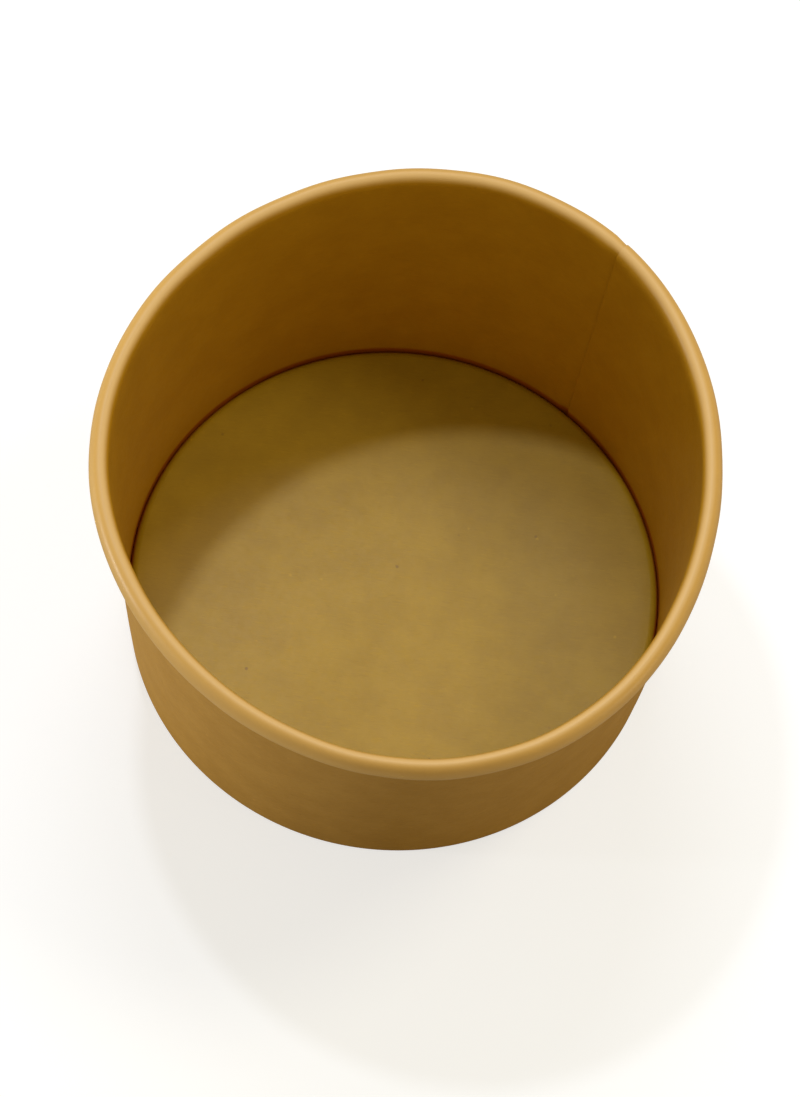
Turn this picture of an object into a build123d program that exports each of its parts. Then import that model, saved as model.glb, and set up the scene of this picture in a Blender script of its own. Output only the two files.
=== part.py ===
from build123d import *
import math
import os

# Paper ice cream cup: a tapered side wall rolled from one fan-shaped sheet, and a bottom held in its hem.
# Millimetres, +Z up. The origin is at the middle of the foot, on the surface that the cup stands on.
# Both sheets are drawn in the half plane of radius and height, as a bent centreline with half the board
# on either side of it, and turned about the axis. A bend is drawn as short flats.

# The whole cup
rim_diameter = 110.0
cup_height = 61.0
foot_diameter = 91.5

# The two boards, and the film that seals one to the other
wall_board = 0.45
disc_board = 0.40
seal_film = 0.05

# The rolled rim: an oval roll of board, with its raw edge drawn in beside the wall
bead_width = 3.4
bead_height = 4.9
curl_turn_deg = 330.0
curl_gap = 0.1
curl_draw_power = 6
curl_flat_count = 12
hollow_flat_count = 6

# The bottom: the disc's skirt is clasped between the wall and the hem that is folded up inside it
disc_recess = 8.3
disc_shoulder = 1.2
shoulder_flat_count = 2
skirt_foot_gap = 0.8
hem_head_gap = 0.8
fold_corner = 0.3

# The side seam: the sheet's outer end laps over its inner end, then comes down beside it on a short ramp
seam_bearing_deg = 56.0
lap_width = 7.5
ramp_width = 2.4
ramp_runout_share = 1.5
lap_foot_gap = 0.6
lap_head_gap = 0.15
groove_head_gap = 0.5
groove_overrun = 1.0


def beside(centreline, distance):
    """The points of a bent line that runs at a distance to the left of a centreline, with mitred bends."""
    runs = [(b - a).normalized() for a, b in zip(centreline, centreline[1:])]
    sides = [Vector(-run.Y, run.X) for run in runs]
    before = sides[:1] + sides
    after = sides + sides[-1:]
    mitres = [(a + b) / (1 + a.dot(b)) for a, b in zip(before, after)]
    return [point + mitre * distance for point, mitre in zip(centreline, mitres)]


def turned_sheet(left_centreline, right_centreline, board):
    """A sheet turned about the axis. Its two faces may draw the same bends more or less finely."""
    left = beside(left_centreline, board / 2)
    right = beside(right_centreline, -board / 2)
    return revolve(Plane.XZ * make_face(Polyline(*left, *reversed(right), close=True)), Axis.Z)


# Where the wall's centreline leaves the fold at the foot
half_board = wall_board / 2
fold_height = half_board + fold_corner
wall_foot = Vector(foot_diameter / 2 - half_board, fold_height)

# The roll's centreline is an oval, and the wall's centreline runs up from the foot to touch it.
# Squeezed to a circle of radius 1, the oval gives the angle at which that happens.
roll_centre = Vector(rim_diameter / 2 - bead_width / 2, cup_height - bead_height / 2)
roll_half_width = bead_width / 2 - half_board
roll_half_height = bead_height / 2 - half_board
squeezed_foot = Vector(
    (wall_foot.X - roll_centre.X) / roll_half_width,
    (wall_foot.Y - roll_centre.Y) / roll_half_height,
)
foot_angle = math.atan2(squeezed_foot.Y, squeezed_foot.X)
touch_angle = foot_angle - math.acos(1 / squeezed_foot.length)
curl_draw_share = (wall_board + curl_gap) / roll_half_width


def roll_point(turn_share):
    """A point of the roll, from 0 where the wall meets it to 1 at the raw edge, which is drawn in."""
    angle = touch_angle - math.radians(curl_turn_deg) * turn_share
    draw = 1 - curl_draw_share * turn_share**curl_draw_power
    return roll_centre + Vector(
        roll_half_width * draw * math.cos(angle),
        roll_half_height * draw * math.sin(angle),
    )


def rolled(flat_count):
    """The roll's centreline, drawn as a number of flats."""
    return [roll_point(flat / flat_count) for flat in range(flat_count + 1)]


wall_run = (roll_point(0) - wall_foot).normalized()
wall_out = Vector(wall_run.Y, -wall_run.X)


def wall_point(height, outward):
    """A point at a height on the wall's centreline, moved square to the wall towards its outside."""
    along = (height - wall_foot.Y) / wall_run.Y
    return wall_foot + wall_run * along + wall_out * outward


# Side wall: hem, fold, wall and rolled rim are one sheet, from the hem's raw edge to the roll's.
# The fold is square where it holds the skirt, and has its corners taken off underneath.
hem_height = disc_recess - disc_board - disc_shoulder - hem_head_gap
hem_set_in = Vector((wall_board + disc_board + 2 * seal_film) / wall_out.X, 0)
hem_head = wall_point(hem_height, 0) - hem_set_in
wall_corner = wall_point(half_board, 0)
hem_corner = wall_corner - hem_set_in
hem_foot = wall_foot - hem_set_in
fold_inside = Vector(hem_foot.X + fold_corner, half_board)
fold_outside = Vector(wall_foot.X - fold_corner, half_board)
inner_face = [hem_head, hem_corner, wall_corner, *rolled(curl_flat_count)]
outer_face = [hem_head, hem_foot, fold_inside, fold_outside, wall_foot, *rolled(hollow_flat_count)]
side_wall = turned_sheet(inner_face, outer_face, wall_board)

# Side seam: the lap lies on the outside of the wall, from just above the fold to just under the roll
lap_foot = fold_height + lap_foot_gap
lap_head = cup_height - bead_height - lap_head_gap
lap_middle = (lap_foot + lap_head) / 2
lap_top = half_board + wall_board
seam_radius = wall_point(lap_middle, half_board).X
lap_angle_deg = math.degrees(lap_width / seam_radius)
ramp_angle_deg = math.degrees(ramp_width / seam_radius)
ramp_turn_deg = ramp_angle_deg * ramp_runout_share


def wall_layer(foot, head, inside, outside, turn_deg):
    """A patch that follows the wall, between two heights and two distances out from its centreline."""
    corners = [
        wall_point(foot, inside),
        wall_point(foot, outside),
        wall_point(head, outside),
        wall_point(head, inside),
    ]
    return revolve(Plane.XZ * make_face(Polyline(*corners, close=True)), Axis.Z, turn_deg)


def under_ramp(layer, top):
    """What is left of a layer under the slope that falls from its top by one board over the ramp's width."""
    start = wall_point(lap_middle, top)
    end_radius = start.X - wall_board
    end_angle = math.radians(ramp_angle_deg)
    uphill = Vector(wall_run.X, 0, wall_run.Y)
    downhill = Vector(end_radius * math.cos(end_angle) - start.X, end_radius * math.sin(end_angle), 0)
    slope = Plane(origin=(start.X, 0, start.Y), x_dir=downhill, z_dir=downhill.cross(uphill))
    return split(layer, slope, keep=Keep.BOTTOM)


lap = wall_layer(lap_foot, lap_head, 0, lap_top, -lap_angle_deg)
ramp = under_ramp(wall_layer(lap_foot, lap_head, 0, lap_top, ramp_turn_deg), lap_top)

# Beside the inner raw edge the sheet stands off by its own thickness, which leaves a groove inside the cup
groove_head = lap_head - groove_head_gap
groove_floor = -half_board - groove_overrun
groove = under_ramp(wall_layer(disc_recess, groove_head, groove_floor, half_board, ramp_turn_deg), half_board)
side_wall = Rot(0, 0, seam_bearing_deg) * (side_wall + lap + ramp - groove)

# Bottom disc: flat across the cup, and turned down round its edge into a skirt along the wall
skirt_set_in = Vector((wall_board / 2 + seal_film + disc_board / 2) / wall_out.X, 0)
disc_level = disc_recess - disc_board / 2
skirt_foot = wall_point(wall_board + skirt_foot_gap, 0) - skirt_set_in
skirt_head = wall_point(disc_level - disc_shoulder, 0) - skirt_set_in
shoulder_centre = skirt_head - Vector(disc_shoulder, 0)


def shoulder_point(turn_share):
    """A point of the disc's bend, from 0 where it leaves the flat to 1 where the skirt begins."""
    turn = math.pi / 2 * turn_share
    return shoulder_centre + Vector(math.sin(turn), math.cos(turn)) * disc_shoulder


shoulder = [shoulder_point(flat / shoulder_flat_count) for flat in range(shoulder_flat_count + 1)]
disc_middle = Vector(0, disc_level)
disc_line = [disc_middle, *shoulder, skirt_foot]
base_disc = turned_sheet(disc_line, disc_line, disc_board)

os.makedirs("parts", exist_ok=True)
export_step(side_wall, "parts/side_wall.step")
export_step(base_disc, "parts/base_disc.step")
print("side wall", side_wall.bounding_box().size, "volume", round(side_wall.volume))
print("bottom disc", base_disc.bounding_box().size, "volume", round(base_disc.volume))
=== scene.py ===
# %% [markdown]
# # A paper ice cream cup
#
# The cup is two sheets of kraft board. The first is the side wall: its top edge is rolled outwards into
# the rim, its two ends lap over each other in the side seam, and its foot is folded up inside as a hem.
# The second is the bottom disc, which has a skirt that the hem clasps. This file dresses both of them
# round a fixed frame that gives their sizes and places, in metres, with +Z up and the foot standing on
# the floor at the origin.

# %% Load the frame
import math

import bmesh
import bpy
from mathutils import Matrix, Vector, noise


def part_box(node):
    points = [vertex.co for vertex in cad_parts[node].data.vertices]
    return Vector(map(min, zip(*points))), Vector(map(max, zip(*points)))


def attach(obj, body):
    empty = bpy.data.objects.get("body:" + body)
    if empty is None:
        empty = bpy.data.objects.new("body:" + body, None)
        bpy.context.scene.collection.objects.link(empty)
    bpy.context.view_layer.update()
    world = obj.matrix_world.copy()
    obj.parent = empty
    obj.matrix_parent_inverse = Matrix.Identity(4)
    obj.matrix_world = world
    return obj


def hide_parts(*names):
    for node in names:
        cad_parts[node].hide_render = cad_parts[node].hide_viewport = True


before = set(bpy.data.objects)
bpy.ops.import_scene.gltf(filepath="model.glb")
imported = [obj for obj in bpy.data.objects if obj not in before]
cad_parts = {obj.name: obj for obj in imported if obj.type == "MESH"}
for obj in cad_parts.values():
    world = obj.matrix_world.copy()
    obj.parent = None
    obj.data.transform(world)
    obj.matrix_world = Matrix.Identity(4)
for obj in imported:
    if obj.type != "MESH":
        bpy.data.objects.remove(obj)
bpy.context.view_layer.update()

scene = bpy.context.scene
scene.view_settings.view_transform = "Standard"
print("frame nodes", sorted(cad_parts))

# %% [markdown]
# ## The sizes that both sheets follow
#
# The frame's boxes give the rim, the height and the level of the bottom disc. Boxes say nothing of what
# goes on inside them, so the thickness of the boards, the size of the roll and the width of the foot are
# written down here, at the real size.

# %% Sizes
mm = 0.001
_, wall_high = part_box("side_wall")
_, disc_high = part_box("base_disc")
rim_radius = wall_high.x
cup_height = wall_high.z
disc_top = disc_high.z

wall_board = 0.45 * mm
disc_board = 0.40 * mm
seal_film = 0.05 * mm
foot_radius = 45.75 * mm
bead_width = 3.4 * mm
bead_height = 4.9 * mm
half_board = wall_board / 2
print(f"rim radius {rim_radius:.4f}, height {cup_height:.4f}, disc top at {disc_top:.4f}")

# %% [markdown]
# ## How the sheet runs, seen in section
#
# Cut through the wall and the board shows as one bent line: down the hem, round the fold at the foot, up
# the wall and round the roll at the rim. The roll is an oval, which can be thought of as a circle that was
# squeezed. In the squeezed picture a straight line from the foot touches a circle of radius 1, so one arc
# cosine tells where the wall ends and the roll begins.

# %% Places along the section
fold_corner = 0.3 * mm
wall_foot = Vector((foot_radius - half_board, 0, half_board + fold_corner))
roll_centre = Vector((rim_radius - bead_width / 2, 0, cup_height - bead_height / 2))
roll_half_width = bead_width / 2 - half_board
roll_half_height = bead_height / 2 - half_board
squeezed_foot = Vector((
    (wall_foot.x - roll_centre.x) / roll_half_width,
    (wall_foot.z - roll_centre.z) / roll_half_height,
))
touch_angle = math.atan2(squeezed_foot.y, squeezed_foot.x) - math.acos(1 / squeezed_foot.length)
touch_point = roll_centre + Vector((
    roll_half_width * math.cos(touch_angle),
    0,
    roll_half_height * math.sin(touch_angle),
))
wall_run = (touch_point - wall_foot).normalized()
wall_out = Vector((wall_run.z, 0, -wall_run.x))
wall_lean = math.atan2(wall_run.x, wall_run.z)


def on_wall(height):
    """The point of the wall's middle line at a height."""
    return wall_foot + wall_run * (height - wall_foot.z) / wall_run.z


print(f"the wall leans out by {math.degrees(wall_lean):.1f} degrees")

# %% [markdown]
# ## Drawing a bent line with one operator
#
# Spin is best known for turning a profile into a vase, but it also works on a single vertex: an angle gives
# an arc, and a step vector with no angle gives a straight run. So the whole section is one vertex that is
# spun along, stretch by stretch, and its corners are true arcs.


# %% Stretches of a section
def last_vert(made):
    """The vertex that a spin ended on."""
    return [part for part in made["geom_last"] if isinstance(part, bmesh.types.BMVert)][0]


def run_on(line, tip, end, steps):
    """Draws a straight stretch from the tip to an end point and gives the new tip."""
    stride = (end - tip.co) / steps
    made = bmesh.ops.spin(line, geom=[tip], cent=tip.co, axis=(0, 1, 0), dvec=stride, angle=0, steps=steps)
    return last_vert(made)


def turn_on(line, tip, centre, turn, steps):
    """Draws an arc from the tip round a centre, where a positive turn goes from +X towards +Z."""
    made = bmesh.ops.spin(line, geom=[tip], cent=centre, axis=(0, -1, 0), angle=turn, steps=steps)
    return last_vert(made)


# %% [markdown]
# ## The side wall's section
#
# The hem and the wall are parallel, with the skirt of the bottom disc between them, so the fold is half a
# turn. The roll is spun as a circle and then squeezed to its oval by a scale. Its last stretch is drawn in
# towards the middle, because the raw edge of the board has to slip in beside the wall.

# %% Find the fold and the hem
hem_height = 5.9 * mm
clasp_width = wall_board + disc_board + 2 * seal_film
fold_radius = clasp_width / 2
fold_height = half_board + fold_radius
fold_end = on_wall(fold_height + wall_out.z * fold_radius)
fold_centre = fold_end - wall_out * fold_radius
fold_start = fold_centre - wall_out * fold_radius
hem_head = fold_start + wall_run * (hem_height - fold_start.z) / wall_run.z
print(f"the hem clasps {clasp_width - wall_board:.5f} m of skirt and film")

# %% Draw the side wall's section
hem_step_count = 4
fold_step_count = 12
wall_step_count = 26
roll_step_count = 36
curl_turn = math.radians(330)
curl_gap = 0.1 * mm
curl_draw_power = 6
curl_draw_share = (wall_board + curl_gap) / roll_half_width
squeeze = roll_half_height / roll_half_width

wall_line = bmesh.new()
tip = wall_line.verts.new(hem_head)
tip = run_on(wall_line, tip, fold_start, hem_step_count)
tip = turn_on(wall_line, tip, fold_centre, math.pi, fold_step_count)
tip = run_on(wall_line, tip, touch_point, wall_step_count)
tip.co.z = roll_centre.z + (touch_point.z - roll_centre.z) / squeeze
turn_on(wall_line, tip, roll_centre, -curl_turn, roll_step_count)
wall_line.verts.ensure_lookup_table()
roll_verts = wall_line.verts[-roll_step_count - 1:]
bmesh.ops.scale(wall_line, vec=(1, 1, squeeze), space=Matrix.Translation(-roll_centre), verts=roll_verts)
for step, vert in enumerate(roll_verts):
    vert.co = vert.co.lerp(roll_centre, curl_draw_share * (step / roll_step_count) ** curl_draw_power)
print("side wall section", len(wall_line.verts), "points")

# %% [markdown]
# ## Notes that travel with the points
#
# When the section is turned round the axis, each new point copies the notes of the one it came from. So
# before the turn every point is told how far along the sheet it lies, which way the sheet's outside face
# looks there, how far round the roll it is, and how hard the machine presses the board at that height.


# %% Note where the points lie
def eased(share):
    """A share from 0 to 1 that starts and ends gently."""
    share = min(max(share, 0), 1)
    return share * share * (3 - 2 * share)


def walk_notes(line):
    """Adds layers for the distance along a section and for the side that its outside face looks to."""
    along = line.verts.layers.float.new("along")
    side = line.verts.layers.float_vector.new("side")
    verts = list(line.verts)
    for before, vert in zip(verts, verts[1:]):
        vert[along] = before[along] + (vert.co - before.co).length
    for before, vert, after in zip(verts[:1] + verts, verts, verts[1:] + verts[-1:]):
        run = (after.co - before.co).normalized()
        vert[side] = Vector((run.z, 0, -run.x))


walk_notes(wall_line)
wall_line.verts.ensure_lookup_table()
along = wall_line.verts.layers.float["along"]
fold_end_index = hem_step_count + fold_step_count
wall_foot_along = wall_line.verts[fold_end_index][along]
sheet_length = wall_line.verts[-1][along]
print(f"the sheet is {sheet_length / mm:.1f} mm from raw edge to raw edge")

# %% Note how the board is pressed and rolled
press_from = 1.5 * mm
press_to = 6.0 * mm
roll_press_steps = 5
pressed = wall_line.verts.layers.float.new("pressed")
rolled = wall_line.verts.layers.float.new("rolled")
wall_line.verts.ensure_lookup_table()
for index, vert in enumerate(wall_line.verts):
    in_hem = index <= fold_end_index
    vert[pressed] = 1 if in_hem else 1 - eased((vert.co.z - press_from) / (press_to - press_from))
for step, vert in enumerate(wall_line.verts[-roll_step_count - 1:]):
    vert[rolled] = step / roll_step_count
    vert[pressed] = eased(step / roll_press_steps)
print("notes", wall_line.verts.layers.float.keys())

# %% [markdown]
# ## Turning the section into a sheet that laps over itself
#
# A full spin that is merged at its ends would give a wall without a seam. The real sheet goes a little
# further than one turn, so that its ends overlap. The spin is made one step at a time, and after each step
# the new ring of points is told how far round it has come, because in the lap two rings share the same
# bearing.

# %% Turn the side wall
seam_bearing = math.radians(56)
lap_width = 7.5 * mm
turn_step_count = 260
seam_radius = on_wall(cup_height / 2).x
lap_angle = lap_width / seam_radius
full_turn = math.tau + lap_angle


def turn_sheet(line, start, whole, steps):
    """Turns a section about the axis, one step at a time, and notes the turn on every point."""
    turn = line.verts.layers.float.new("turn")
    first_bearing = Matrix.Rotation(seam_bearing + start, 3, "Z")
    bmesh.ops.rotate(line, cent=(0, 0, 0), matrix=first_bearing, verts=line.verts[:])
    ring = line.verts[:] + line.edges[:]
    for vert in line.verts:
        vert[turn] = start
    for step in range(1, steps + 1):
        made = bmesh.ops.spin(line, geom=ring, cent=(0, 0, 0), axis=(0, 0, 1), angle=whole / steps, steps=1)
        ring = made["geom_last"]
        for part in ring:
            if isinstance(part, bmesh.types.BMVert):
                part[turn] = start + whole * step / steps


turn_sheet(wall_line, -lap_angle, full_turn, turn_step_count)
side_sheet = wall_line
wall_face = max(side_sheet.faces, key=lambda face: face.calc_area())
middle = wall_face.calc_center_median()
if wall_face.normal.dot(Vector((middle.x, middle.y, 0))) < 0:
    bmesh.ops.reverse_faces(side_sheet, faces=side_sheet.faces[:])
print("side wall sheet", len(side_sheet.faces), "faces")

# %% [markdown]
# ## Laying the seam
#
# Over the lap the outer end rides on the inner one, one board further out, and comes down beside it on a
# short ramp. In the roll the spare board goes inwards, into the hollow. In the hem the machine presses both
# layers to the thickness of one. That thickness is a vertex group, which the Solidify modifier reads
# further down. The notes are fetched by name here, because layers were added after they were made.

# %% Lay the seam
ramp_width = 2.4 * mm
ramp_angle = ramp_width / seam_radius
lap_clearance = 0.02 * mm
pressed_share = 0.5
seam_group = 0
thickness = side_sheet.verts.layers.deform.verify()
along = side_sheet.verts.layers.float["along"]
side = side_sheet.verts.layers.float_vector["side"]
pressed = side_sheet.verts.layers.float["pressed"]
rolled = side_sheet.verts.layers.float["rolled"]
turn = side_sheet.verts.layers.float["turn"]

for vert in side_sheet.verts:
    over = 1 - eased(vert[turn] / ramp_angle)
    under = eased((vert[turn] - math.tau + lap_angle + ramp_angle) / ramp_angle)
    in_seam = max(over, under)
    free = 1 - vert[pressed]
    lift = over * free * (wall_board + lap_clearance)
    lift += (over - under) * vert[pressed] * wall_board * pressed_share / 2
    lift += in_seam * wall_board * vert[rolled] ** curl_draw_power
    vert.co += Matrix.Rotation(seam_bearing + vert[turn], 3, "Z") @ Vector(vert[side]) * lift
    vert[thickness][seam_group] = 1 - in_seam * vert[pressed]
print(f"the lap is {lap_width / mm:.1f} mm wide, at {math.degrees(seam_bearing):.0f} degrees")

# %% [markdown]
# ## The give of paper
#
# The bottom disc keeps the foot round, but the rim of a paper cup is never a true circle. This one is a
# little narrower from left to right than from front to back, and slightly three-cornered, with one corner
# near the seam. The flex grows from nothing at the disc to its full size at the rim. A trace of slow noise
# keeps the bead from looking turned on a lathe.

# %% Flex the rim
rim_oval = 1.6 * mm
rim_corner = 0.95 * mm
oval_count = 2
corner_count = 3
flex_power = 1.25
bead_wander = 0.16 * mm
wander_size = 12 * mm


def flexed(point):
    """Where a point of the cup comes to lie when the rim is flexed."""
    height_share = max(0, (point.z - disc_top) / (cup_height - disc_top))
    bearing = math.atan2(point.y, point.x)
    outward = Vector((math.cos(bearing), math.sin(bearing), 0))
    flex = -rim_oval * math.cos(oval_count * bearing) - rim_corner * math.cos(corner_count * bearing)
    wander = bead_wander * noise.noise(point / wander_size)
    return point + outward * (flex + wander) * height_share ** flex_power


for vert in side_sheet.verts:
    vert.co = flexed(vert.co)
rim_across = 2 * (rim_radius - rim_oval)
rim_deep = 2 * (rim_radius + rim_oval)
print(f"rim about {rim_across / mm:.1f} mm across and {rim_deep / mm:.1f} mm deep")

# %% [markdown]
# ## A flat map of the sheet
#
# Fibres lie straight in the board before it is bent, so their pattern is laid out on the flat blank. The
# blank of a cone is a fan: the apex of the cone is its centre, and a full turn of the cup is only a small
# turn of the fan. The UV map is that fan in metres, which lets a pattern be given in real sizes.

# %% Lay out the blank
apex_distance = fold_end.x / wall_run.x


def lay_out_fan(sheet):
    """Gives each corner of each face its place on the flat blank."""
    blank = sheet.loops.layers.uv.new("blank")
    for face in sheet.faces:
        for loop in face.loops:
            reach = apex_distance + loop.vert[along] - wall_foot_along
            fan_turn = loop.vert[turn] * wall_run.x
            loop[blank].uv = (reach * math.sin(fan_turn), reach * math.cos(fan_turn) - apex_distance)


lay_out_fan(side_sheet)
print(f"the blank is a fan of {math.degrees(full_turn * wall_run.x):.1f} degrees")

# %% [markdown]
# ## From sheet to board
#
# A sheet in Blender has no thickness. The Solidify modifier gives it half a board on either side, and lets
# the two faces and the cut edges take different materials by counting on from the first slot: outside,
# lining, cut edge. A very small Bevel takes the knife edge off the cuts, because a sharp edge never catches
# the light.

# %% Make board of a sheet
lining_slot = 1
cut_edge_slot = 2
cut_softness = 0.05 * mm
cut_segments = 2
bevel_limit = math.radians(55)


def make_board(name, sheet, board, materials, has_seam=False):
    """Turns a bmesh sheet into an object of board, with an outside, a lining and cut edges."""
    mesh = bpy.data.meshes.new(name)
    for face in sheet.faces:
        face.smooth = True
    sheet.to_mesh(mesh)
    sheet.free()
    for material in materials:
        mesh.materials.append(material)
    piece = bpy.data.objects.new(name, mesh)
    scene.collection.objects.link(piece)
    solid = piece.modifiers.new("board", "SOLIDIFY")
    solid.thickness = board
    solid.offset = 0
    solid.use_even_offset = True
    solid.use_quality_normals = True
    solid.material_offset = lining_slot
    solid.material_offset_rim = cut_edge_slot
    if has_seam:
        solid.vertex_group = piece.vertex_groups.new(name="full_board").name
        solid.thickness_vertex_group = pressed_share
    cut = piece.modifiers.new("cut", "BEVEL")
    cut.width = cut_softness
    cut.segments = cut_segments
    cut.limit_method = "ANGLE"
    cut.angle_limit = bevel_limit
    cut.harden_normals = True
    return piece


# %% [markdown]
# ## The bottom disc
#
# The second sheet is cut as a disc, and its edge is turned down into a skirt that runs along the wall,
# between it and the hem. The bend leaves a narrow groove all round the bottom of the cup, which shows as a
# dark line. This section is turned all the way round and merged, because a disc has no seam. Its flat is
# divided into rings, so that it can be a little uneven, as board is.

# %% Draw the bottom disc's section
shoulder_radius = 1.3 * mm
skirt_foot_height = 1.25 * mm
disc_ring_count = 26
shoulder_step_count = 9
skirt_step_count = 5

disc_level = disc_top - disc_board / 2
skirt_set_in = wall_out * (half_board + seal_film + disc_board / 2)
skirt_turn = math.pi / 2 + wall_lean
shoulder_height = disc_level - shoulder_radius - shoulder_radius * wall_out.z
shoulder_end = on_wall(shoulder_height) - skirt_set_in
shoulder_centre = shoulder_end - wall_out * shoulder_radius
shoulder_start = shoulder_centre + Vector((0, 0, shoulder_radius))
disc_middle = Vector((0, 0, shoulder_start.z))
skirt_foot = on_wall(skirt_foot_height) - skirt_set_in

disc_line = bmesh.new()
tip = disc_line.verts.new(disc_middle)
tip = run_on(disc_line, tip, shoulder_start, disc_ring_count)
tip = turn_on(disc_line, tip, shoulder_centre, -skirt_turn, shoulder_step_count)
run_on(disc_line, tip, skirt_foot, skirt_step_count)
print("bottom disc section", len(disc_line.verts), "points, level", round(disc_level, 5))

# %% Turn the bottom disc
disc_turn_count = 180
merge_distance = 0.005 * mm
disc_unevenness = 0.10 * mm
unevenness_size = 17 * mm
unevenness_fade_power = 4
bmesh.ops.spin(
    disc_line,
    geom=disc_line.verts[:] + disc_line.edges[:],
    cent=(0, 0, 0),
    axis=(0, 0, 1),
    angle=math.tau,
    steps=disc_turn_count,
    use_merge=True,
)
bmesh.ops.remove_doubles(disc_line, verts=disc_line.verts[:], dist=merge_distance)
disc_sheet = disc_line
top_face = max(disc_sheet.faces, key=lambda face: face.calc_center_median().z)
if top_face.normal.z > 0:
    bmesh.ops.reverse_faces(disc_sheet, faces=disc_sheet.faces[:])
for vert in disc_sheet.verts:
    edge_share = Vector((vert.co.x, vert.co.y)).length / shoulder_start.x
    if edge_share < 1:
        fade = 1 - edge_share ** unevenness_fade_power
        vert.co.z += disc_unevenness * noise.noise(vert.co / unevenness_size) * fade
print("bottom disc sheet", len(disc_sheet.faces), "faces")

# %% [markdown]
# ## Helpers for material nodes
#
# A node tree reads more easily when one line places a node, sets it up and wires its inputs. An input that
# is given another node's output is linked, and any other value is written on the socket. The Mix node keeps
# its colour sockets behind those for plain numbers, and they share their names, so they go by their number.

# %% Place a node
mix_share_socket = 0
mix_first_socket = 6
mix_second_socket = 7
mix_colour_socket = 2


def place(tree, kind, inputs=None, **settings):
    """Adds a node to a tree. Inputs are values, or output sockets of other nodes, which are linked."""
    made = tree.nodes.new(kind)
    for name, value in settings.items():
        setattr(made, name, value)
    for socket, value in (inputs or {}).items():
        if isinstance(value, bpy.types.NodeSocket):
            tree.links.new(value, made.inputs[socket])
        else:
            made.inputs[socket].default_value = value
    return made


def math_node(tree, operation, first, second):
    """The result of a sum on two values or sockets."""
    made = place(tree, "ShaderNodeMath", {0: first, 1: second}, operation=operation)
    return made.outputs[0]


def times(tree, first, second):
    """The product of two values or sockets."""
    return math_node(tree, "MULTIPLY", first, second)


def ranged(tree, value, low, high, to_low=0.0, to_high=1.0):
    """A value stretched from one range to another with gentle ends, and kept inside it."""
    inputs = {"Value": value, "From Min": low, "From Max": high, "To Min": to_low, "To Max": to_high}
    return place(tree, "ShaderNodeMapRange", inputs, interpolation_type="SMOOTHSTEP").outputs["Result"]


def mixed(tree, share, first, second, blend="MIX"):
    """Two colours mixed by a share."""
    inputs = {mix_share_socket: share, mix_first_socket: first, mix_second_socket: second}
    made = place(tree, "ShaderNodeMix", inputs, data_type="RGBA", blend_type=blend)
    return made.outputs[mix_colour_socket]


def new_group(name, inputs, outputs):
    """A shader node group with named sockets, and the sockets of its two end nodes."""
    group = bpy.data.node_groups.new(name, "ShaderNodeTree")
    for label, kind in inputs:
        group.interface.new_socket(label, in_out="INPUT", socket_type=kind)
    for label, kind in outputs:
        group.interface.new_socket(label, in_out="OUTPUT", socket_type=kind)
    start = group.nodes.new("NodeGroupInput")
    end = group.nodes.new("NodeGroupOutput")
    return group, start.outputs, end.inputs


# %% [markdown]
# ## Kraft pulp
#
# Unbleached board is never one brown. Pulp settles in soft clouds a few millimetres wide, long fibres lie
# in it at every angle, and here and there a speck of bark or a pale fleck is left. All finishes of the cup
# share this, so it is a node group. Fibres are noise that was stretched: long one way, thin the other, and
# cut off so that only its crests are left. The group puts out a colour and a height. Scales are counts per
# metre.

# %% Start the pulp group
pulp_inputs = [
    ("Vector", "NodeSocketVector"),
    ("Light", "NodeSocketColor"),
    ("Dark", "NodeSocketColor"),
    ("Fibre", "NodeSocketFloat"),
    ("Specks", "NodeSocketFloat"),
]
pulp_outputs = [("Color", "NodeSocketColor"), ("Height", "NodeSocketFloat")]
pulp, into, out_of = new_group("kraft_pulp", pulp_inputs, pulp_outputs)
print("pulp group takes", [label for label, kind in pulp_inputs])

# %% Clouds and grain
cloud_scale = 130
cloud_detail = 4.0
cloud_range = (0.30, 0.70)
grain_scale = 1100
grain_detail = 2.0
pulp_roughness = 0.6


def cloudy(tree, vector, scale, detail):
    """Soft noise of a scale, from 0 to 1."""
    inputs = {"Vector": vector, "Scale": scale, "Detail": detail, "Roughness": pulp_roughness}
    return place(tree, "ShaderNodeTexNoise", inputs).outputs[0]


clouds = ranged(pulp, cloudy(pulp, into["Vector"], cloud_scale, cloud_detail), *cloud_range)
grain = cloudy(pulp, into["Vector"], grain_scale, grain_detail)
print(f"clouds of about {1 / cloud_scale / mm:.1f} mm, grain of {1 / grain_scale / mm:.1f} mm")

# %% Fibres
fibre_length_scale = 520
fibre_width_scale = 4600
fibre_detail = 1.0
fibre_bend = 0.7
fibre_crest = (0.60, 0.78)
pale_fibre_angles = [math.radians(angle) for angle in (12, 71, 133)]
dark_fibre_angles = [math.radians(angle) for angle in (101, 160)]


def streaks(tree, vector, angles):
    """Thin bent streaks that lie at about the given angles."""
    stretch = (fibre_length_scale, fibre_width_scale, fibre_length_scale)
    crests = []
    for angle in angles:
        lie = {"Vector": vector, "Rotation": (0, 0, angle), "Scale": stretch}
        turned = place(tree, "ShaderNodeMapping", lie).outputs[0]
        inputs = {"Vector": turned, "Scale": 1.0, "Detail": fibre_detail, "Distortion": fibre_bend}
        wave = place(tree, "ShaderNodeTexNoise", inputs).outputs[0]
        crests.append(ranged(tree, wave, *fibre_crest))
    highest = crests[0]
    for crest in crests[1:]:
        highest = math_node(tree, "MAXIMUM", highest, crest)
    return highest


pale_fibres = times(pulp, streaks(pulp, into["Vector"], pale_fibre_angles), into["Fibre"])
dark_fibres = times(pulp, streaks(pulp, into["Vector"], dark_fibre_angles), into["Fibre"])
print("fibres at", len(pale_fibre_angles) + len(dark_fibre_angles), "angles")

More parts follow.
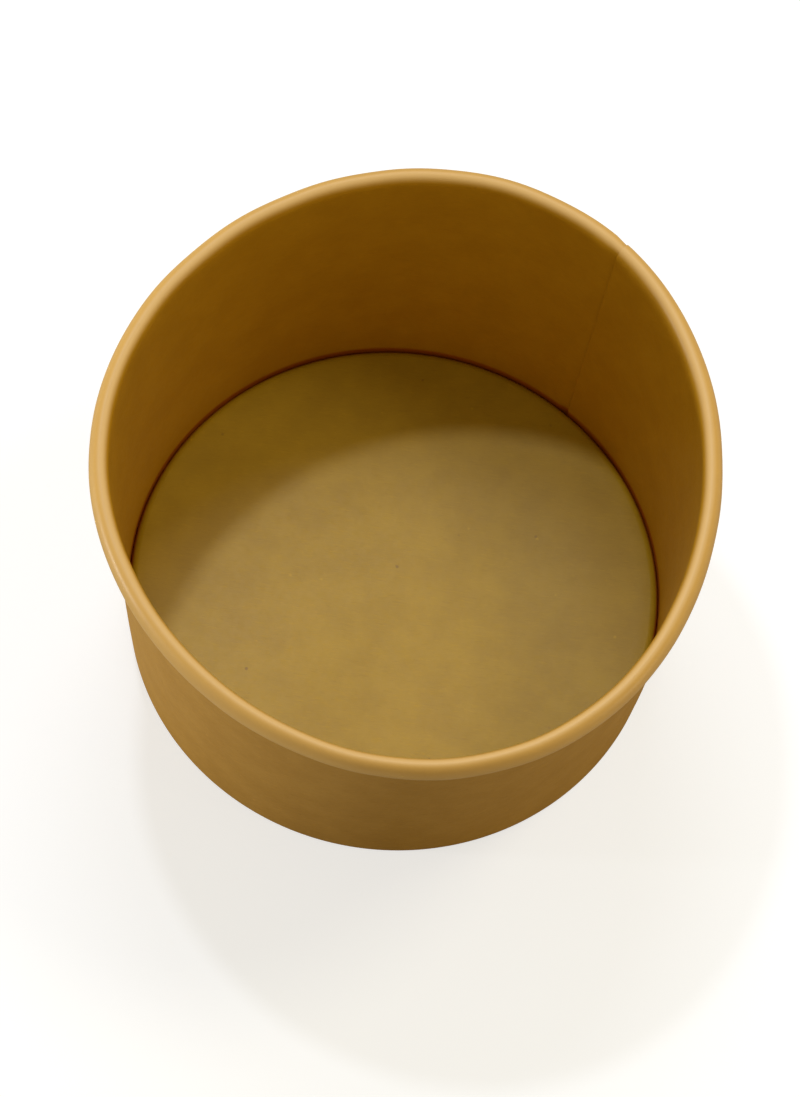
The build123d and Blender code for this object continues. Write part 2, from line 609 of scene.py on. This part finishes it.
# %% [markdown]
# Specks come from a Voronoi texture. It deals out one point and one random colour to every cell, so a cell
# whose red is high gets a speck of bark at its point, and one whose green is high gets a pale fleck. The
# grain makes their edges ragged.

# %% Specks of bark and pale flecks
speck_scale = 300
speck_raggedness = 0.16
speck_edge = (0.10, 0.20)
bark_draw = (0.92, 0.96)
fleck_draw = (0.86, 0.92)
cells = place(pulp, "ShaderNodeTexVoronoi", {"Vector": into["Vector"], "Scale": speck_scale})
drawn = place(pulp, "ShaderNodeSeparateColor", {"Color": cells.outputs["Color"]})
ragged = math_node(pulp, "ADD", cells.outputs["Distance"], times(pulp, grain, speck_raggedness))
near = times(pulp, ranged(pulp, ragged, *speck_edge, 1.0, 0.0), into["Specks"])
bark = times(pulp, ranged(pulp, drawn.outputs["Red"], *bark_draw), near)
flecks = times(pulp, ranged(pulp, drawn.outputs["Green"], *fleck_draw), near)
print("a speck may lie every", round(1 / speck_scale / mm, 1), "mm")

# %% Mix the pulp
bark_brown = (0.13, 0.06, 0.015, 1)
pale_fibre_strength = 0.16
dark_fibre_strength = 0.22
fleck_strength = 0.30
bark_strength = 0.55
fibre_relief = 0.6
colour = mixed(pulp, clouds, into["Dark"], into["Light"])
colour = mixed(pulp, times(pulp, pale_fibres, pale_fibre_strength), colour, into["Light"], "ADD")
colour = mixed(pulp, times(pulp, dark_fibres, dark_fibre_strength), colour, into["Dark"], "MULTIPLY")
colour = mixed(pulp, times(pulp, flecks, fleck_strength), colour, into["Light"], "ADD")
colour = mixed(pulp, times(pulp, bark, bark_strength), colour, bark_brown)
height = math_node(pulp, "ADD", times(pulp, pale_fibres, fibre_relief), grain)
pulp.links.new(colour, out_of["Color"])
pulp.links.new(height, out_of["Height"])
print("pulp group", len(pulp.nodes), "nodes")

# %% [markdown]
# ## Painted shade in the crease round the bottom
#
# Where the disc meets the wall the board is bent hard into a narrow groove, which lies in shade. A second
# group puts out a mask that is 1 in the groove and fades a little way up the wall and over the shoulder,
# and the linings use it to mix in a dark colour as painted shade.

# %% Build the crease group
crease_inputs = [
    ("Vector", "NodeSocketVector"),
    ("Level", "NodeSocketFloat"),
    ("Reach", "NodeSocketFloat"),
]
crease, into, out_of = new_group("bottom_crease", crease_inputs, [("Mask", "NodeSocketFloat")])
split = place(crease, "ShaderNodeSeparateXYZ", {"Vector": into["Vector"]})
above = math_node(crease, "SUBTRACT", split.outputs["Z"], into["Level"])
share = math_node(crease, "DIVIDE", above, into["Reach"])
crease.links.new(ranged(crease, share, -1.0, 1.0, 1.0, 0.0), out_of["Mask"])
print("crease group", len(crease.nodes), "nodes")

# %% [markdown]
# ## The finishes
#
# The outside is bare kraft, dry and matt. The inside has a thin clear film on it, so it is smoother,
# deeper in colour, and shines softly. The film goes out over the roll with the sheet, and along the crest
# of the roll a paler colour is painted in as a highlight. The groove round the bottom gets painted shade.
# The cut edges show the fibre core, which has no film at all. On the wall the pattern follows the flat
# blank. On the disc, which is flat, object space does as well.

# %% Make a finish
relief_depth = 0.05 * mm
relief_range = (0.2, 1.1)
smoother_by = 0.06
rougher_by = 0.08


def kraft(name, layout, light, dark, fibre, specks, roughness, relief, gloss):
    """A kraft finish with its pattern laid out by UV or Object."""
    material = bpy.data.materials.new(name)
    material.use_nodes = True
    tree = material.node_tree
    surface = tree.nodes["Principled BSDF"]
    where = place(tree, "ShaderNodeTexCoord")
    pattern = {"Vector": where.outputs[layout], "Light": (*light, 1), "Dark": (*dark, 1)}
    pattern |= {"Fibre": fibre, "Specks": specks}
    fibred = place(tree, "ShaderNodeGroup", pattern, node_tree=pulp)
    tree.links.new(fibred.outputs["Color"], surface.inputs["Base Color"])
    worn_range = (roughness - smoother_by, roughness + rougher_by)
    worn = ranged(tree, fibred.outputs["Height"], *relief_range, *worn_range)
    tree.links.new(worn, surface.inputs["Roughness"])
    surface.inputs["Specular IOR Level"].default_value = gloss
    raised = {"Strength": relief, "Distance": relief_depth, "Height": fibred.outputs["Height"]}
    tree.links.new(place(tree, "ShaderNodeBump", raised).outputs[0], surface.inputs["Normal"])
    return material


# %% Change a finish in places
# Painted shade: a dark red-brown that the linings mix in where the groove round the bottom lies in shade.
groove_shade_colour = (0.34, 0.075, 0.006, 1)
groove_shade_depth = 0.9
# Painted highlight: a paler colour mixed in along the crest of the roll, where the lamps light it most.
crest_highlight_colour = (0.69, 0.485, 0.23, 1)
crest_rise = (0.06, 0.20)
crest_fall = (0.22, 0.32)
crest_highlight_depth = 0.9
crest_fall_share = 0.5
film_roughness = 0.36


def recolour(material, share, colour):
    """Mixes a colour by a share into what a finish shows so far."""
    tree = material.node_tree
    base = tree.nodes["Principled BSDF"].inputs["Base Color"]
    shown = base.links[0].from_socket
    tree.links.new(mixed(tree, share, shown, colour), base)


def paint_groove_shade(material, level, reach):
    """Paints shade into a finish in the groove round the bottom."""
    tree = material.node_tree
    where = place(tree, "ShaderNodeTexCoord")
    inputs = {"Vector": where.outputs["Object"], "Level": level, "Reach": reach}
    groove = place(tree, "ShaderNodeGroup", inputs, node_tree=crease)
    recolour(material, times(tree, groove.outputs["Mask"], groove_shade_depth), groove_shade_colour)


def paint_crest_highlight(material):
    """Paints a highlight along the crest of the roll, which the points of the sheet know by a note."""
    tree = material.node_tree
    noted = place(tree, "ShaderNodeAttribute", attribute_name="rolled").outputs["Fac"]
    rise = ranged(tree, noted, *crest_rise, 0.0, crest_highlight_depth)
    fall = ranged(tree, noted, *crest_fall, 1.0, crest_fall_share)
    recolour(material, times(tree, rise, fall), crest_highlight_colour)


def add_film(material, weight):
    """Lays a thin clear film on a finish."""
    surface = material.node_tree.nodes["Principled BSDF"]
    surface.inputs["Coat Weight"].default_value = weight
    surface.inputs["Coat Roughness"].default_value = film_roughness


# %% Bare kraft and the cut edge
bare = {
    "light": (0.43, 0.242, 0.050),
    "dark": (0.395, 0.217, 0.042),
    "fibre": 1.0,
    "specks": 0.8,
    "roughness": 0.76,
    "relief": 0.5,
    "gloss": 0.2,
}
fibre_core = {
    "light": (0.60, 0.42, 0.19),
    "dark": (0.50, 0.33, 0.13),
    "fibre": 1.0,
    "specks": 0.3,
    "roughness": 0.85,
    "relief": 0.8,
    "gloss": 0.2,
}
outside_kraft = kraft("kraft_outside", "UV", **bare)
underside_kraft = kraft("kraft_underside", "Object", **bare)
cut_edge = kraft("cut_edge", "Object", **fibre_core)
print("bare finishes", [material.name for material in (outside_kraft, underside_kraft, cut_edge)])

# %% The two linings
wall_lined = {
    "light": (0.49, 0.266, 0.012),
    "dark": (0.45, 0.238, 0.009),
    "fibre": 0.5,
    "specks": 0.4,
    "roughness": 0.5,
    "relief": 0.2,
    "gloss": 0.2,
}
wall_crease_rise = 0.50 * mm
wall_crease_reach = 0.45 * mm
wall_film = 0.15
wall_lining = kraft("wall_lining", "UV", **wall_lined)
# The wall's lining gets painted shade in the groove and a painted highlight along the crest of the roll.
paint_groove_shade(wall_lining, disc_top + wall_crease_rise, wall_crease_reach)
paint_crest_highlight(wall_lining)
add_film(wall_lining, wall_film)

disc_lined = {
    "light": (0.40, 0.266, 0.012),
    "dark": (0.355, 0.232, 0.009),
    "fibre": 0.5,
    "specks": 1.0,
    "roughness": 0.46,
    "relief": 0.2,
    "gloss": 0.25,
}
disc_crease_drop = 0.22 * mm
disc_crease_reach = 0.22 * mm
disc_film = 0.20
disc_lining = kraft("disc_lining", "Object", **disc_lined)
# The disc's lining gets painted shade in the groove round its edge.
paint_groove_shade(disc_lining, disc_top - disc_crease_drop, disc_crease_reach)
add_film(disc_lining, disc_film)
print("linings", [material.name for material in (wall_lining, disc_lining)])

# %% [markdown]
# ## Putting the two pieces in the frame
#
# Each piece stands for one node of the frame, whose own mesh is hidden, and rides on its body.

# %% Make and place the pieces
wall_faces = (outside_kraft, wall_lining, cut_edge)
disc_faces = (underside_kraft, disc_lining, cut_edge)
side_wall = make_board("side_wall_board", side_sheet, wall_board, wall_faces, has_seam=True)
base_disc = make_board("base_disc_board", disc_sheet, disc_board, disc_faces)
for piece, node_name, slot_name in (
    (side_wall, "side_wall", "kraft_wall"),
    (base_disc, "base_disc", "kraft_disc"),
):
    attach(piece, "root")
    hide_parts(node_name)
    print(piece.name, "stands for", node_name)

# %% [markdown]
# ## Floor
#
# The floor is plain and takes the cup's shadow. Its paint is a middling grey, so that it sends little
# light back up at the foot, and slightly blue, to balance the warm lamps. For the camera alone it is lifted
# to the white of the background, without any more light on the cup.

# %% Lay the floor
floor_radius = 3.0
floor_edge_count = 96
floor_grey = (0.42, 0.46, 0.55, 1)
floor_lift = 0.66
floor_sheet = bmesh.new()
bmesh.ops.create_circle(floor_sheet, cap_ends=True, segments=floor_edge_count, radius=floor_radius)
floor_mesh = bpy.data.meshes.new("floor")
floor_sheet.to_mesh(floor_mesh)
floor_sheet.free()
floor = bpy.data.objects.new("floor", floor_mesh)
scene.collection.objects.link(floor)

floor_paint = bpy.data.materials.new("pale_floor")
floor_paint.use_nodes = True
tree = floor_paint.node_tree
tree.nodes.remove(tree.nodes["Principled BSDF"])
rays = place(tree, "ShaderNodeLightPath")
paint = place(tree, "ShaderNodeBsdfDiffuse", {"Color": floor_grey})
lifted = times(tree, rays.outputs["Is Camera Ray"], floor_lift)
lift = place(tree, "ShaderNodeEmission", {"Strength": lifted})
both = place(tree, "ShaderNodeAddShader", {0: paint.outputs[0], 1: lift.outputs[0]})
tree.links.new(both.outputs[0], tree.nodes["Material Output"].inputs["Surface"])
floor_mesh.materials.append(floor_paint)
print("floor", floor_radius, "m in radius")

# %% [markdown]
# ## Light
#
# Paper shows its form by shade, so the lamps are set before the colours are judged. A small lamp behind on
# the left lays the edge of the rim on the disc as a clear crescent. A large one behind the cup softens it,
# and a warm one behind on the right lights the other side. They all stand behind, so the front of the cup
# would be dull. Two low cards, level with the rim at the left and the right, light the outside and leave
# the inside alone. The camera doesn't see the lamps.

# %% Hang the lamps
lamp_distance = 1.2
window_white = (1.0, 0.99, 0.97)
bulb_warm = (1.0, 0.86, 0.58)


def lamp(name, bearing_deg, height_deg, size, level, colour):
    """A round lamp that looks at the cup and lights a white card there to a level."""
    bearing = math.radians(bearing_deg)
    height = math.radians(height_deg)
    data = bpy.data.lights.new(name, "AREA")
    data.shape = "DISK"
    data.size = size
    data.energy = level * math.pi ** 2 * lamp_distance ** 2
    data.color = colour
    made = bpy.data.objects.new(name, data)
    flat = math.cos(height)
    direction = Vector((math.cos(bearing) * flat, math.sin(bearing) * flat, math.sin(height)))
    made.location = Vector((0, 0, cup_height / 2)) + direction * lamp_distance
    made.rotation_euler = direction.to_track_quat("Z", "Y").to_euler()
    made.visible_camera = False
    scene.collection.objects.link(made)


lamp("left_lamp", bearing_deg=122, height_deg=62, size=0.08, level=0.22, colour=window_white)
lamp("back_lamp", bearing_deg=98, height_deg=52, size=0.50, level=0.27, colour=window_white)
lamp("right_lamp", bearing_deg=30, height_deg=55, size=0.36, level=0.23, colour=bulb_warm)
lamp("left_card", bearing_deg=-171, height_deg=1.5, size=0.10, level=0.60, colour=window_white)
lamp("right_card", bearing_deg=-15, height_deg=1.5, size=0.10, level=0.20, colour=bulb_warm)
print("lamps", [light.name for light in bpy.data.lights])

# %% [markdown]
# The world fills in the rest with a low, warm light. Only the camera sees it as a plain white backdrop.

# %% Fill in with the world
sky_level = 0.42
sky_colour = (1.0, 0.80, 0.42, 1)
backdrop_level = 1.0
backdrop_white = (1.0, 1.0, 1.0, 1)
world = bpy.data.worlds.new("studio")
scene.world = world
world.use_nodes = True
tree = world.node_tree
seen = place(tree, "ShaderNodeLightPath").outputs["Is Camera Ray"]
sky = tree.nodes["Background"]
tree.links.new(mixed(tree, seen, sky_colour, backdrop_white), sky.inputs["Color"])
tree.links.new(ranged(tree, seen, 0.0, 1.0, sky_level, backdrop_level), sky.inputs["Strength"])
print("world", world.name, "fills at", sky_level)

# %% [markdown]
# ## Camera
#
# The picture looks steeply down into the cup with a long lens, and the cup leans a little to the right in
# it. The cup fills most of the width of a picture that is 800 by 1097.

# %% Set the camera
image_width = 800
image_height = 1097
view_height = math.radians(65.5)
view_roll = math.radians(7.9)
view_distance = 1.6
view_end = 20
cup_share_of_width = 0.80
target_share_of_height = 0.42
sensor = 36.0

camera_data = bpy.data.cameras.new("camera")
camera = bpy.data.objects.new("camera", camera_data)
scene.collection.objects.link(camera)
direction = Vector((0, -math.cos(view_height), math.sin(view_height)))
camera.location = Vector((0, 0, cup_height * target_share_of_height)) + direction * view_distance
look = direction.to_track_quat("Z", "Y").to_matrix() @ Matrix.Rotation(view_roll, 3, "Z")
camera.rotation_euler = look.to_euler()
frame_height = 2 * rim_radius / cup_share_of_width * image_height / image_width
camera_data.sensor_fit = "VERTICAL"
camera_data.sensor_height = sensor
camera_data.lens = sensor * view_distance / frame_height
camera_data.clip_end = view_end
scene.camera = camera
print(f"camera lens {camera_data.lens:.0f} mm")
